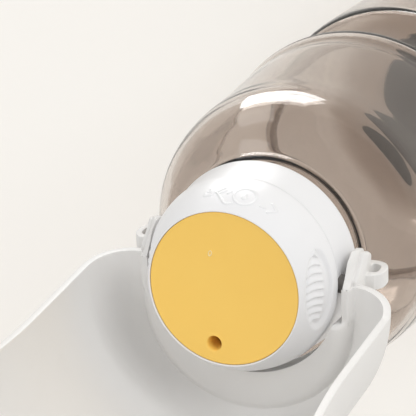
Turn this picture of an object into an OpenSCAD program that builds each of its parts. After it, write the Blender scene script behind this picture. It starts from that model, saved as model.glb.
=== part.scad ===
// Travel water bottle for dogs, shown with its drinking bowl opened out.
// A clear hourglass bottle carries a white screw collar, a ball-shaped head
// that turns to open or shut a disc valve, and a long half-round bowl on two
// side ears that swings over the head and closes round the bottle.
// Z runs up the bottle from the middle of its base, X is the bowl's hinge,
// and the bowl's floor is on the +Y side.

/* [Bottle] */
// Height of the head's front face above the base
face_z = 190; // [175:1:215]
// Radius of the lower chamber
lower_r = 44.8; // [43.5:0.1:45]
// Radius of the upper chamber at its shoulder
upper_r = 42.4; // [41:0.1:42.5]
// Radius of the waist between the chambers
waist_r = 38.4; // [35:0.1:41]
// Radius of the ring above the waist
ring_r = 45.6; // [44:0.1:45.8]
// Thickness of the bottle's wall
bottle_wall = 1.8; // [1.4:0.1:2.4]
// Radius of the round between the side and the base
heel_r = 12; // [9:1:14]
// Outside radius of the neck
neck_r = 23.4; // [22.8:0.1:23.5]
// Radius of the neck's bore
neck_bore_r = 20.4; // [18:0.1:21]
// Radius of the non-slip pad under the base
pad_r = 24; // [18:0.5:26]
// Thickness of the non-slip pad
pad_t = 1.6; // [1.2:0.1:2.2]

/* [Collar] */
// Radius of the collar at its lower edge
collar_low_r = 28.3; // [27.8:0.1:28.5]
// Radius of the collar just under the head
collar_top_r = 26.8; // [26.4:0.1:27]
// Height of the collar
collar_h = 12; // [11:0.5:13]
// Radial gap between neck and collar, filled by the thread
thread_gap = 0.4; // [0.3:0.05:0.5]
// Thread rise in one turn, which the cap's lift follows
thread_pitch = 3.5; // [3:0.5:4]

/* [Head] */
// Radius of the ball that the head is cut from
ball_r = 27.6; // [27:0.1:27.7]
// How far the ball's centre lies behind the front face
ball_drop = 16.6; // [16:0.1:17.5]
// Thickness of the head's wall
head_wall = 2.2; // [1.8:0.1:2.6]
// Radius of the coloured face disc
face_r = 21.7; // [20:0.1:21.7]
// Thickness of the face disc
face_t = 2.2; // [1.8:0.1:2.6]
// How far the middle of the face disc is dished in
dish = 0.9; // [0.2:0.1:1.2]
// Radius of the outlet hole
outlet_r = 2.1; // [1.8:0.1:2.3]
// Distance of the outlet from the middle of the face
outlet_offset = 16.5; // [14:0.1:17]
// Angle by which the head is turned away from the bowl's centre line
head_park = 9; // [0:0.5:15]
// Depth of the finger grips
grip_depth = 0.9; // [0.5:0.1:1.2]
// Ribs in each finger grip
grip_ribs = 9; // [5:1:11]

/* [Valve] */
// Thickness of the valve seat plate
seat_t = 2.4; // [2:0.1:2.8]
// Thickness of the sheet gasket between seat and rotor
sheet_t = 0.6; // [0.5:0.1:0.7]
// Thickness of the rotor plate
rotor_t = 2.2; // [1.8:0.1:2.6]
// Radius of the ports in seat and gasket
port_r = 2.6; // [2.3:0.1:3]
// Radius of the rotor's hub
hub_r = 6; // [5:0.5:7]
// Radial running clearance of hub and hinge pins
run_gap = 0.05; // [0.02:0.01:0.09]

/* [Bowl] */
// Inside radius of the bowl at its hinge end
bowl_r = 43.5; // [43.4:0.1:44]
// Growth of that radius from the hinge end to the nose
bowl_flare = 3.2; // [3:0.1:4]
// Thickness of the bowl's wall
bowl_wall = 2; // [1.8:0.1:2.4]
// How far the hinge lies behind the front face
hinge_drop = 18; // [17.5:0.1:18.5]
// Angle between the opened bowl and the bottle's axis
bowl_tilt = 7.85; // [4:0.05:12]
// Radius of the corner between the end wall and the side
corner_r = 12; // [9:0.5:14]
// Height of the rim below the hinge axis
rim_drop = 0.8; // [0.4:0.1:1.5]
// Radius of the raised part of the end wall
nest_r = 31; // [30:0.1:32]
// Distance of its centre below the hinge axis
nest_y = 12; // [9:0.1:13]
// Height of the raised part at its edge
nest_h = 4.8; // [4:0.1:6]
// Extra height at its middle
nest_crown = 1.2; // [0.6:0.1:2]
// Gap between the turning head and the bowl's edge
swing_gap = 0.4; // [0.3:0.1:0.8]

/* [Hinge and loops] */
// Distance of each ear's inner face from the middle
ear_x = 28.9; // [28.8:0.1:29.2]
// Thickness of an ear
ear_t = 4; // [3.6:0.1:4.4]
// Width of an ear
ear_w = 11.6; // [10:0.1:12]
// Height of an ear's rounded top above the hinge axis
ear_top = 9.5; // [8:0.1:10]
// How far an ear's inner rib runs below the hinge axis
ear_rib = 9.6; // [8:0.1:11]
// Radius of the hinge pins
pin_r = 1.6; // [1.4:0.05:1.7]
// Distance of a strap loop's hole from the middle
loop_x = 33.6; // [33.4:0.1:34.5]
// Distance of a strap loop's hole behind the hinge axis
loop_back = 7.7; // [7:0.1:9]
// Radius of a strap loop's hole, across its width
loop_hole_r = 1.6; // [1.5:0.05:2.1]
// Thickness of a strap loop's band
loop_band = 2; // [1.6:0.05:2.2]
// Extra length of a strap loop's hole
loop_slot = 1.6; // [1:0.1:2.4]
// Height of a strap loop's band
loop_h = 4.6; // [3.6:0.1:5]

/* [Hidden] */
$fn = 96;
eps = 0.01;
big = 400;
hinge_z = face_z - hinge_drop;
ball_z = face_z - ball_drop;
// the head's lower edge, just above the collar
ridge_z = face_z - 15;
collar_top = ridge_z - 0.6;
collar_bottom = collar_top - collar_h;
seat_top = collar_top;
seat_bottom = seat_top - seat_t;
gasket_t = 1.5;
neck_top = seat_bottom - gasket_t;
shoulder_top = collar_bottom - 1.2;
collar_in = neck_r + thread_gap;
// the ring, the waist and the top of the lower chamber
ring_z = face_z - 103;
waist_z = face_z - 122;
lower_z = face_z - 142;
// rotor stack
rotor_bottom = seat_top + sheet_t;
rotor_top = rotor_bottom + rotor_t;
rotor_r = 25;
web_top = face_z - 0.2 - face_t;
web_t = 1.6;
washer_t = 1;
washer_gap = 0.1;
click_in = 21.2;
screw_r = 1.6;
seal_d = 1;
// half length and ribs of the finger grips
grip_half = 12;
grip_r = 4.6;
grip_z = face_z - 5.9;
// bowl, in its own frame with the hinge at the origin
wall_back = 0;
wall_front = wall_back + bowl_wall;
flare_z = 44;
flare_len = 46;
rim_turn = 13;
rim_rise = 8;
// the bowl's end clears the bottle's heel with the cap screwed up by 1.5 turns
cap_rise = 1.5 * thread_pitch;
heel_reach = norm([lower_r - heel_r, hinge_z + cap_rise - heel_r]) + heel_r;
bowl_end = heel_reach + 0.8;
nose_r = heel_r + 2;
swing_r = norm([face_r + 0.6, hinge_drop]) + swing_gap;
slab_x = ear_x - 0.15;
nest_flat = nest_r - nest_h;
nest_ball = (nest_flat * nest_flat + nest_crown * nest_crown) / (2 * nest_crown);
ear_front = 4.6;
ear_mid = ear_front - ear_w / 2;
loop_top = 2.2;
pin_in = 24.2;
spot_x = 26.6;
spot_r = 2.6;

// Points of an arc about c from angle a to angle b
function arc(c, r, a, b, n) = [for (i = [0:n]) c + r * [cos(a + (b - a) * i / n), sin(a + (b - a) * i / n)]];

// Smooth curve through the points p, with n steps in each span
function smooth_at(a, b, c, d, t) =
    0.5 * (2 * b + (c - a) * t + (2 * a - 5 * b + 4 * c - d) * t * t + (3 * b - a - 3 * c + d) * t * t * t);
function smooth(p, n) = [
    for (i = [0:len(p) - 2], k = [0:n - 1])
        smooth_at(p[max(i - 1, 0)], p[i], p[i + 1], p[min(i + 2, len(p) - 1)], k / n),
    p[len(p) - 1]
];

// The path p moved by w to its left
function side_dir(p, i) = p[min(i + 1, len(p) - 1)] - p[max(i - 1, 0)];
function moved(p, w) = [
    for (i = [0:len(p) - 1]) p[i] + w * [-side_dir(p, i)[1], side_dir(p, i)[0]] / norm(side_dir(p, i))
];
function reversed(p) = [for (i = [len(p) - 1:-1:0]) p[i]];

module ring(r_in, r_out, z0, z1) {
    translate([0, 0, z0]) difference() {
        cylinder(r = r_out, h = z1 - z0);
        translate([0, 0, -1]) cylinder(r = r_in, h = z1 - z0 + 2);
    }
}

// Puts its children at the outlet's place on the head
module at_outlet() {
    rotate([0, 0, 90 - head_park]) translate([outlet_offset, 0, 0]) children();
}

// Bottle side from the heel up to the foot of the neck
side_path = concat(
    arc([lower_r - heel_r, heel_r], heel_r, -90, 0, 10),
    smooth([
        [lower_r, lower_z - 22],
        [lower_r, lower_z],
        [lower_r - 1.5, lower_z + 5.5],
        [waist_r + 1.4, waist_z - 7],
        [waist_r, waist_z],
        [waist_r + 1.4, waist_z + 6.5],
        [ring_r - 2, ring_z - 6],
        [ring_r, ring_z - 1.6],
        [ring_r, ring_z + 1.4],
        [upper_r + 2.3, ring_z + 5.5],
        [upper_r + 2.1, ring_z + 11],
        [upper_r + 0.8, ring_z + 29],
        [upper_r + 0.2, face_z - 64],
        [upper_r, face_z - 57],
        [upper_r - 0.5, face_z - 52],
        [upper_r - 2, face_z - 46.5],
        [upper_r - 5.8, face_z - 41],
        [upper_r - 11, shoulder_top - 8.2],
        [neck_r + 3, shoulder_top - 3.8],
        [neck_r + 0.6, shoulder_top - 1.6],
        [neck_r, shoulder_top]
    ], 5)
);

module bottle() {
    inner = moved(side_path, bottle_wall);
    color([0.66, 0.58, 0.52, 0.5]) rotate_extrude($fn = 128) polygon(concat(
        [[0, pad_t]],
        [[pad_r + 0.2, pad_t], [pad_r + 0.2, 0]],
        side_path,
        [[neck_r, neck_top], [neck_bore_r, neck_top], [neck_bore_r, shoulder_top - 2]],
        reversed([for (p = inner) if (p[0] > neck_bore_r && p[1] < shoulder_top - 2.4) p]),
        [[pad_r, pad_t + bottle_wall], [0, pad_t + bottle_wall]]
    ));
}

module base_pad() {
    color([0.30, 0.28, 0.27]) cylinder(r = pad_r, h = pad_t);
}

module neck_gasket() {
    color([0.93, 0.93, 0.92]) ring(neck_bore_r + 0.3, neck_r - 0.1, neck_top, seat_bottom);
}

module collar() {
    lip = 1.2;
    color([0.95, 0.95, 0.95]) difference() {
        rotate_extrude() polygon(concat(
            [[collar_in, collar_bottom]],
            arc([collar_low_r - lip, collar_bottom + lip], lip, -90, 0, 6),
            arc([collar_top_r - lip, collar_top - lip], lip, 8, 90, 6),
            [[collar_in, collar_top]]
        ));
        for (s = [-1, 1]) {
            translate([s * pin_in, 0, hinge_z]) rotate([0, s * 90, 0]) cylinder(r = pin_r, h = 10, $fn = 48);
            translate([s * spot_x, 0, hinge_z]) rotate([0, s * 90, 0])
                cylinder(r = spot_r + 0.1, h = 10, $fn = 48);
        }
    }
}

module valve_seat() {
    color([0.88, 0.89, 0.90]) difference() {
        translate([0, 0, seat_bottom]) cylinder(r = collar_in, h = seat_t);
        translate([0, 0, seat_bottom - 1]) cylinder(r = hub_r + run_gap, h = seat_t + 2);
        at_outlet() translate([0, 0, seat_bottom - 1]) cylinder(r = port_r, h = seat_t + 2, $fn = 48);
        vent_place() translate([0, 0, seat_bottom - 1]) cylinder(r = 1.1, h = seat_t + 2, $fn = 32);
    }
}

// Puts its children at the air vent, opposite the outlet
module vent_place() {
    rotate([0, 0, 270 - head_park]) translate([outlet_offset - 3, 0, 0]) children();
}

module sheet_gasket() {
    color([0.93, 0.93, 0.92]) difference() {
        ring(hub_r + 0.6, click_in - 0.6, seat_top, rotor_bottom);
        at_outlet() translate([0, 0, seat_top - 1]) cylinder(r = port_r, h = 3, $fn = 48);
        vent_place() translate([0, 0, seat_top - 1]) cylinder(r = 3, h = 3, $fn = 48);
    }
}

module vent_valve() {
    color([0.93, 0.93, 0.92]) vent_place() {
        translate([0, 0, seat_bottom - 0.9]) cylinder(r1 = 2.6, r2 = 3, h = 0.9, $fn = 48);
        translate([0, 0, seat_bottom - eps]) cylinder(r = 1.1, h = seat_t + 2 * eps, $fn = 32);
        translate([0, 0, seat_top]) cylinder(r = 1.6, h = 0.4, $fn = 32);
    }
}

module rotor() {
    color([0.88, 0.89, 0.90]) difference() {
        union() {
            translate([0, 0, rotor_bottom]) cylinder(r = rotor_r, h = rotor_t);
            translate([0, 0, seat_bottom - washer_gap])
                cylinder(r = hub_r, h = seat_t + sheet_t + washer_gap + eps);
            translate([0, 0, rotor_top - eps]) cylinder(r = 4.4, h = 4);
        }
        translate([0, 0, seat_bottom - 1]) cylinder(r = screw_r, h = 10, $fn = 48);
        at_outlet() translate([0, 0, rotor_bottom - 1]) cylinder(r = outlet_r, h = rotor_t + 2, $fn = 48);
        translate([0, 0, seat_bottom + 0.7]) rotate_extrude() translate([hub_r, 0])
            square([2 * seal_d, 1.2], center = true);
    }
}

module hub_seal() {
    color([0.20, 0.20, 0.21]) translate([0, 0, seat_bottom + 0.7])
        rotate_extrude() translate([hub_r - seal_d / 2, 0]) circle(r = seal_d / 2, $fn = 24);
}

module hub_washer() {
    top = seat_bottom - washer_gap;
    color([0.75, 0.76, 0.77]) ring(screw_r, hub_r + 2.2, top - washer_t, top);
}

module hub_screw() {
    head_z = seat_bottom - washer_gap - washer_t;
    color([0.72, 0.73, 0.74]) difference() {
        union() {
            translate([0, 0, head_z - 2]) cylinder(r1 = 2.6, r2 = 3.2, h = 2, $fn = 48);
            translate([0, 0, head_z - eps]) cylinder(r = screw_r, h = 9, $fn = 48);
        }
        for (a = [0, 90])
            rotate([0, 0, a]) translate([-2, -0.4, head_z - 2.5]) cube([4, 0.8, 1.6]);
    }
}

module click_ring() {
    color([0.82, 0.83, 0.84]) difference() {
        ring(click_in, collar_in - 0.2, seat_top, seat_top + 0.4);
        for (a = [0:60:300])
            rotate([0, 0, a]) translate([click_in + 1.2, 0, seat_top - 1]) cylinder(r = 0.7, h = 3, $fn = 24);
    }
}

module outlet_tube() {
    color([0.88, 0.89, 0.90]) at_outlet() ring(outlet_r, outlet_r + 1.2, rotor_top, web_top);
}

module outlet_seal() {
    color([0.20, 0.20, 0.21]) at_outlet() translate([0, 0, web_top - web_t - seal_d / 2])
        rotate_extrude($fn = 48) translate([outlet_r + 1.2 + seal_d / 2, 0]) circle(r = seal_d / 2, $fn = 24);
}

// Outline of a finger grip, drawn upright and standing out along X
module grip_outline(shrink) {
    rotate([90, 0, 90]) linear_extrude(height = 40) {
        for (s = [-1, 1]) translate([s * (grip_half - grip_r), 0]) circle(r = grip_r - shrink, $fn = 48);
        square([2 * (grip_half - grip_r), 2 * (grip_r - shrink)], center = true);
    }
}

module grip_cut() {
    difference() {
        translate([0, 0, grip_z]) grip_outline(0);
        translate([0, 0, ball_z]) sphere(r = ball_r - grip_depth);
    }
}

module grip_bars() {
    pitch = 2 * grip_half / (grip_ribs + 1);
    intersection() {
        translate([0, 0, ball_z]) sphere(r = ball_r - 0.15);
        translate([0, 0, grip_z]) grip_outline(-eps);
        for (i = [1:grip_ribs])
            translate([20, -grip_half + i * pitch, grip_z]) rotate([18, 0, 0])
                translate([0, -0.45, -grip_r - 1]) cube([20, 0.9, 2 * grip_r + 2]);
    }
}

module head_shell() {
    edge = 0.5;
    inner = ball_r - head_wall;
    top_angle = asin((face_z - edge - ball_z) / ball_r);
    web_bottom = web_top - web_t;
    color([0.95, 0.95, 0.95]) difference() {
        union() {
            difference() {
                rotate_extrude($fn = 128) polygon(concat(
                    [[rotor_r, ridge_z]],
                    arc([0, ball_z], ball_r, asin((ridge_z - ball_z) / ball_r), top_angle, 18),
                    [[face_r + 0.4, face_z], [face_r + 0.05, face_z], [face_r + 0.05, web_top], [0, web_top]],
                    [[0, web_bottom]],
                    arc([0, ball_z], inner, asin((web_bottom - ball_z) / inner),
                        asin((rotor_top - ball_z) / inner), 8),
                    [[rotor_r, rotor_top]]
                ));
                for (s = [0, 180]) rotate([0, 0, s]) grip_cut();
            }
            for (s = [0, 180]) rotate([0, 0, s]) intersection() {
                grip_bars();
                difference() {
                    cylinder(r = big, h = big);
                    translate([0, 0, ball_z]) sphere(r = ball_r - grip_depth - 0.2);
                }
            }
        }
        at_outlet() translate([0, 0, web_bottom - 1]) cylinder(r = outlet_r + 1.2, h = 4, $fn = 48);
    }
}

module face_disc() {
    dish_r = (face_r * face_r + dish * dish) / (2 * dish);
    rise = asin(face_r / dish_r);
    color([0.96, 0.80, 0.42]) difference() {
        rotate_extrude($fn = 128) polygon(concat(
            [[0, web_top], [face_r, web_top]],
            arc([0, web_top + face_t + dish_r - dish], dish_r, rise - 90, -90, 8)
        ));
        at_outlet() translate([0, 0, web_top - 1]) cylinder(r = outlet_r, h = 5, $fn = 48);
        plug_place() translate([0, 0, web_top - 1]) cylinder(r = 0.55, h = 5, $fn = 32);
    }
}

// Puts its children at the small vent plug in the face
module plug_place() {
    translate([4.4, -9.3, 0]) children();
}

module vent_plug() {
    color([0.97, 0.90, 0.70]) plug_place() {
        translate([0, 0, web_top]) cylinder(r = 0.55, h = face_t - 0.3, $fn = 32);
        translate([0, 0, web_top + face_t - 0.5]) cylinder(r = 0.75, h = 0.5, $fn = 32);
    }
}

// Outside and inside of the bowl as solids of revolution about its own axis
module trough(grow) {
    r0 = bowl_r + grow;
    tip_r = r0 + bowl_flare;
    turn = wall_front + corner_r;
    nose = nose_r + grow;
    nose_z = bowl_end - nose_r;
    rotate_extrude($fn = 96) polygon(concat(
        [[0, wall_front - grow]],
        arc([r0 - corner_r - grow, turn], corner_r + grow, -90, 0, 8),
        [for (t = [0:0.125:1]) [r0 + bowl_flare * (1 - cos(180 * t)) / 2, flare_z + t * flare_len]],
        arc([tip_r - nose, nose_z], nose, 10, 90, 8),
        [[0, bowl_end + grow]]
    ));
}

module trough_shell() {
    difference() {
        trough(bowl_wall);
        trough(0);
        intersection() {
            translate([-big / 2, rim_drop - big, -big / 2]) cube([big, big, big]);
            translate([0, rim_drop, rim_turn]) rotate([-rim_rise, 0, 0])
                translate([-big / 2, -big, -big / 2]) cube([big, big, big]);
        }
    }
}

// The raised part of the end wall below the head, with a rounded edge
module nest(inset) {
    top = wall_front + nest_h + nest_crown - inset;
    rise = asin(nest_flat / nest_ball);
    translate([0, nest_y, 0]) rotate_extrude($fn = 96) polygon(concat(
        [[0, wall_back - 1], [nest_r - inset, wall_back - 1]],
        arc([nest_flat, wall_front], nest_h - inset, 0, 90, 6),
        arc([0, top - nest_ball], nest_ball, 90 - rise, 90, 5)
    ));
}

module ear_outline(inset) {
    r = ear_w / 2 - inset;
    translate([r + inset - ear_top, ear_mid]) circle(r = r, $fn = 64);
    polygon([
        [r + inset - ear_top, ear_mid - r],
        [r + inset - ear_top, ear_mid + r],
        [-1.5, ear_mid + r],
        [2.5, wall_front],
        [2.5, wall_back],
        [1, ear_mid - r]
    ]);
}

// One ear with its rib and strap loop, on the +X side
module ear() {
    half = loop_hole_r + loop_band;
    translate([ear_x, 0, 0]) rotate([90, 0, 90]) {
        linear_extrude(height = 2) {
            ear_outline(0);
            translate([0, wall_back]) square([ear_rib, ear_front - wall_back]);
        }
        linear_extrude(height = ear_t) ear_outline(0.7);
    }
    translate([0, -loop_top, 0]) rotate([-90, 0, 0]) linear_extrude(height = loop_h) difference() {
        union() {
            for (s = [-0.5, 0.5]) translate([loop_x, loop_back + s * loop_slot]) circle(r = half, $fn = 64);
            translate([loop_x - half, loop_back - loop_slot / 2]) square([2 * half, loop_slot]);
            translate([ear_x + 0.5, 1]) square([ear_t - 0.5, loop_back + loop_slot / 2 - 1]);
        }
        intersection() {
            union() {
                for (s = [-0.5, 0.5])
                    translate([loop_x, loop_back + s * loop_slot]) circle(r = loop_hole_r, $fn = 48);
                translate([loop_x - loop_hole_r, loop_back - loop_slot / 2])
                    square([2 * loop_hole_r, loop_slot]);
            }
            translate([ear_x + ear_t - 0.4, 0]) square([20, 20]);
        }
    }
}

module bowl() {
    color([0.94, 0.94, 0.94]) translate([0, 0, hinge_z]) rotate([-bowl_tilt, 0, 0]) difference() {
        union() {
            difference() {
                trough_shell();
                nest(bowl_wall);
            }
            intersection() {
                difference() {
                    nest(0);
                    nest(bowl_wall);
                }
                trough(bowl_wall / 2);
                translate([-big / 2, ear_rib, wall_back]) cube([big, big, big]);
            }
            for (s = [0, 1]) mirror([s, 0, 0]) ear();
        }
        // room for the head through the bowl's whole swing
        intersection() {
            union() {
                sphere(r = swing_r, $fn = 96);
                cylinder(r = collar_low_r + 0.6, h = 20, center = true);
            }
            cube([2 * slab_x, big, big], center = true);
        }
        translate([-slab_x, -big + ear_rib, -big / 2]) cube([2 * slab_x, big, big]);
        for (s = [-1, 1]) translate([s * (ear_x - 1), 0, 0]) rotate([0, s * 90, 0])
            cylinder(r = pin_r + run_gap, h = ear_t, $fn = 48);
    }
}

module hinge_pin() {
    color([0.72, 0.73, 0.74]) translate([pin_in, 0, hinge_z]) rotate([0, 90, 0])
        cylinder(r = pin_r, h = ear_x + ear_t - 1.3 - pin_in, $fn = 48);
}

module hinge_washer() {
    color([0.93, 0.93, 0.92]) translate([spot_x, 0, hinge_z]) rotate([0, 90, 0]) difference() {
        cylinder(r = spot_r, h = slab_x - washer_gap - spot_x, $fn = 48);
        translate([0, 0, -1]) cylinder(r = pin_r + run_gap, h = 4, $fn = 48);
    }
}

module hinge_pin_l() { hinge_pin(); }
module hinge_pin_r() { mirror([1, 0, 0]) hinge_pin(); }
module hinge_washer_l() { hinge_washer(); }
module hinge_washer_r() { mirror([1, 0, 0]) hinge_washer(); }

bottle();
base_pad();
neck_gasket();
collar();
valve_seat();
sheet_gasket();
vent_valve();
rotor();
hub_seal();
hub_washer();
hub_screw();
click_ring();
outlet_tube();
outlet_seal();
head_shell();
face_disc();
vent_plug();
bowl();
hinge_pin_l();
hinge_pin_r();
hinge_washer_l();
hinge_washer_r();
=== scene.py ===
import math

import bmesh
import bpy
from mathutils import Matrix, Vector


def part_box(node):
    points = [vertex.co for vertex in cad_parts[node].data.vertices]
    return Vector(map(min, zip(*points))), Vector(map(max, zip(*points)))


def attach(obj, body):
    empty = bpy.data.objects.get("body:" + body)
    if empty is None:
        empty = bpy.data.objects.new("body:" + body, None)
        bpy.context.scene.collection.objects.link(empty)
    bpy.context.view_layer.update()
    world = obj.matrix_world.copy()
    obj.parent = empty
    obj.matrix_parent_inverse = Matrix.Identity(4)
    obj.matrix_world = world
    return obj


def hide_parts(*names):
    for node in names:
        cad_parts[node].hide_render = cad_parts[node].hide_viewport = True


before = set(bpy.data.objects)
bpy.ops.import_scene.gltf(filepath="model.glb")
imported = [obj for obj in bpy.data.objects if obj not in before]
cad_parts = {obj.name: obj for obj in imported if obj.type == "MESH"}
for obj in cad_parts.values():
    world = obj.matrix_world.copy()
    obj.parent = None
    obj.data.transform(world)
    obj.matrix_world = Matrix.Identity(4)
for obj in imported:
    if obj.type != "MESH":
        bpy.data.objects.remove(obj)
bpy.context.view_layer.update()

MM = 0.001

# Sizes in millimetres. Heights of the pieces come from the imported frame.
FACE_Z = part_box("head_shell")[1].z / MM
RIDGE_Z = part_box("head_shell")[0].z / MM
COLLAR_LOW_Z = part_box("collar")[0].z / MM
COLLAR_TOP_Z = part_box("collar")[1].z / MM
NECK_TOP_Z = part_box("bottle")[1].z / MM
PAD_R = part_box("base_pad")[1].x / MM
PAD_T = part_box("base_pad")[1].z / MM
DISC_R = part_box("face_disc")[1].x / MM
DISC_LOW_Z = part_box("face_disc")[0].z / MM
DISC_TOP_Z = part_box("face_disc")[1].z / MM

HINGE_DROP = 18.0
HINGE_Z = FACE_Z - HINGE_DROP
BALL_R = 27.6
BALL_DROP = 16.6
BALL_Z = FACE_Z - BALL_DROP
ROTOR_R = 25.0
ROTOR_T = 2.2
ROTOR_TOP_Z = RIDGE_Z + ROTOR_T
HEAD_WALL = 2.2
HEAD_WEB = 1.6
DISH = 0.9
OUTLET_R = 2.1
OUTLET_OFFSET = 16.5
HEAD_PARK = 9.0
PLUG_X, PLUG_Y = 4.4, -9.3
PLUG_TURN = -14.0

COLLAR_LOW_R = 28.3
COLLAR_TOP_R = 26.8
NECK_R = 23.4
NECK_BORE_R = 20.4
COLLAR_IN_R = NECK_R + 0.4
SHOULDER_Z = COLLAR_LOW_Z - 1.2
BOTTLE_WALL = 1.8
LOWER_R = 44.8
UPPER_R = 42.4
WAIST_R = 38.4
RING_R = 45.6
HEEL_R = 12.0
THREAD_PITCH = 3.5
THREAD_TURNS = 1.5
CAP_RISE = THREAD_TURNS * THREAD_PITCH

BOWL_TILT = 7.85
BOWL_R = 43.5
BOWL_FLARE = 3.2
BOWL_WALL = 2.0
BOWL_CORNER = 12.0
BOWL_FLARE_Z = 44.0
BOWL_FLARE_LENGTH = 46.0
HEEL_REACH = math.hypot(LOWER_R - HEEL_R, HINGE_Z + CAP_RISE - HEEL_R) + HEEL_R
BOWL_END = HEEL_REACH + 0.8
NOSE_R = HEEL_R + 2
RIM_DROP = 0.8
RIM_TURN = 13.0
RIM_RISE = 8.0
NEST_R = 31.0
NEST_Y = 12.0
NEST_H = 4.8
NEST_CROWN = 1.2
OPENING_R = 28.3
SLAB_X = 28.75
LEDGE_Y = 9.6
EAR_X = 28.9
EAR_T = 4.0
EAR_FRONT = 4.6


# ---------------------------------------------------------------- camera
SENSOR = 36.0
FOCAL_PX = 2600.0
FRAME_PX = 416.0
CAMERA_PLACE = Vector((-255.71, -251.78, 598.14 + FACE_Z)) * MM
CAMERA_RIGHT = Vector((-0.91467116, -0.01458991, -0.40393539))
CAMERA_DOWN = Vector((-0.14659238, 0.94328278, 0.29787291))
CAMERA_AHEAD = Vector((0.37667936, 0.33166961, -0.86493233))


def make_camera():
    """The camera at the photograph's place, with its angle of view."""
    lens = bpy.data.cameras.new("camera")
    lens.sensor_width = SENSOR
    lens.sensor_fit = "HORIZONTAL"
    lens.lens = SENSOR * FOCAL_PX / FRAME_PX
    lens.clip_start = 0.01
    lens.clip_end = 20
    camera = bpy.data.objects.new("camera", lens)
    turn = Matrix((CAMERA_RIGHT, -CAMERA_DOWN, -CAMERA_AHEAD)).transposed().to_4x4()
    camera.matrix_world = Matrix.Translation(CAMERA_PLACE) @ turn
    bpy.context.scene.collection.objects.link(camera)
    bpy.context.scene.camera = camera


# ---------------------------------------------------------------- finishes
# share of a noise's range that shows as a hair line
HAIR_WIDTH = 0.0072


class Value:
    """A shader socket that takes part in sums, differences and products."""

    def __init__(self, finish, socket):
        self.finish = finish
        self.socket = socket

    def math(self, operation, other, swapped=False):
        pair = (other, self) if swapped else (self, other)
        return self.finish.node("ShaderNodeMath", {"operation": operation}, {0: pair[0], 1: pair[1]})

    def __add__(self, other):
        return self.math("ADD", other)

    def __radd__(self, other):
        return self.math("ADD", other, True)

    def __sub__(self, other):
        return self.math("SUBTRACT", other)

    def __rsub__(self, other):
        return self.math("SUBTRACT", other, True)

    def __mul__(self, other):
        return self.math("MULTIPLY", other)

    def __rmul__(self, other):
        return self.math("MULTIPLY", other, True)


class Finish:
    """A material of one Principled shader, fed by patterns in object space."""

    def __init__(self, name, color, roughness, **uniform):
        self.material = bpy.data.materials.new(name)
        self.material.use_nodes = True
        self.tree = self.material.node_tree
        self.shader = self.tree.nodes["Principled BSDF"]
        self.output = self.tree.nodes["Material Output"]
        self.place = self.node("ShaderNodeTexCoord", output="Object")
        self.set("Base Color", color)
        self.set("Roughness", roughness)
        for socket, value in uniform.items():
            self.set(socket.replace("_", " "), value)

    def node(self, kind, settings=(), sockets=(), output=0):
        """Makes a node: its settings first, then its sockets. Returns one output."""
        made = self.tree.nodes.new(kind)
        for key, value in dict(settings).items():
            setattr(made, key, value)
        for key, value in dict(sockets).items():
            self.feed(made.inputs[key], value)
        return Value(self, made.outputs[output])

    def feed(self, socket, value):
        """Links a value to a socket, or sets the socket to a number or a colour."""
        if isinstance(value, Value):
            self.tree.links.new(value.socket, socket)
        elif isinstance(value, tuple) and len(value) == 3 and len(socket.default_value) == 4:
            socket.default_value = (*value, 1)
        else:
            socket.default_value = value

    def set(self, socket, value):
        self.feed(self.shader.inputs[socket], value)

    def stretched(self, stretch):
        """The place on the piece, scaled by axis, for patterns that run one way."""
        return self.node("ShaderNodeMapping", {}, {"Vector": self.place, "Scale": stretch})

    def noise(self, per_metre, detail=3.0, stretch=None):
        """Cloudy pattern from 0 to 1, with that many features in a metre."""
        place = self.stretched(stretch) if stretch else self.place
        sockets = {"Vector": place, "Scale": per_metre, "Detail": detail, "Roughness": 0.55}
        return self.node("ShaderNodeTexNoise", {}, sockets)

    def stepped(self, value, low, high):
        """0 below low, 1 above high, smooth between."""
        settings = {"interpolation_type": "SMOOTHSTEP"}
        return self.node("ShaderNodeMapRange", settings, {"Value": value, "From Min": low, "From Max": high})

    def blend(self, share, first, second):
        """The first colour where share is 0, the second where it is 1."""
        settings = {"data_type": "RGBA"}
        return self.node("ShaderNodeMix", settings, {0: share, 6: first, 7: second}, output=2)

    def scratches(self, per_metre, stretch):
        """Fine hair lines, 1 on a line and 0 beside it."""
        line = self.noise(per_metre, 2.0, stretch)
        near = self.node("ShaderNodeMath", {"operation": "ABSOLUTE"}, {0: line - 0.5})
        return 1 - self.stepped(near, 0.0, HAIR_WIDTH)

    def bump(self, height, depth):
        """Relief of that depth in millimetres."""
        sockets = {"Height": height, "Distance": depth * MM, "Strength": 1.0}
        self.set("Normal", self.node("ShaderNodeBump", {}, sockets))


def moulded_white(name, color, shade, rough, grain):
    """Satin injection-moulded plastic: fine grain, faint flow clouds, hair lines, and convex edges that are
    rubbed smoother and lightened with a painted highlight.
    """
    finish = Finish(name, color, rough, IOR=1.49, Specular_IOR_Level=0.3)
    flow = finish.noise(28, 3.0)
    grime = finish.stepped(finish.noise(90, 4.0), 0.5, 0.8)
    # convex edges: rubbed smoother in roughness, and lightened in colour as a painted highlight
    edge_wear_and_highlight = finish.stepped(finish.node("ShaderNodeNewGeometry", output="Pointiness"), 0.52, 0.6)
    line = finish.scratches(220, (1.0, 0.25, 0.35)) * finish.stepped(finish.noise(60), 0.5, 0.62)
    toned = finish.blend(flow * 0.55 + grime * 0.25, color, shade)
    # painted edge highlight: the colour made a little lighter on convex edges
    edge_highlight_color = tuple(min(1.0, c * 1.03) for c in color)
    finish.set("Base Color", finish.blend(edge_wear_and_highlight * 0.6, toned, edge_highlight_color))
    finish.set("Roughness", rough - 0.05 + flow * 0.07 + grime * 0.06 - edge_wear_and_highlight * 0.06 + line * 0.05)
    finish.bump(finish.noise(grain, 2.0) * 0.8 + finish.noise(grain * 0.2, 2.0) * 0.5 - line * 0.25, 0.012)
    return finish.material


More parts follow.
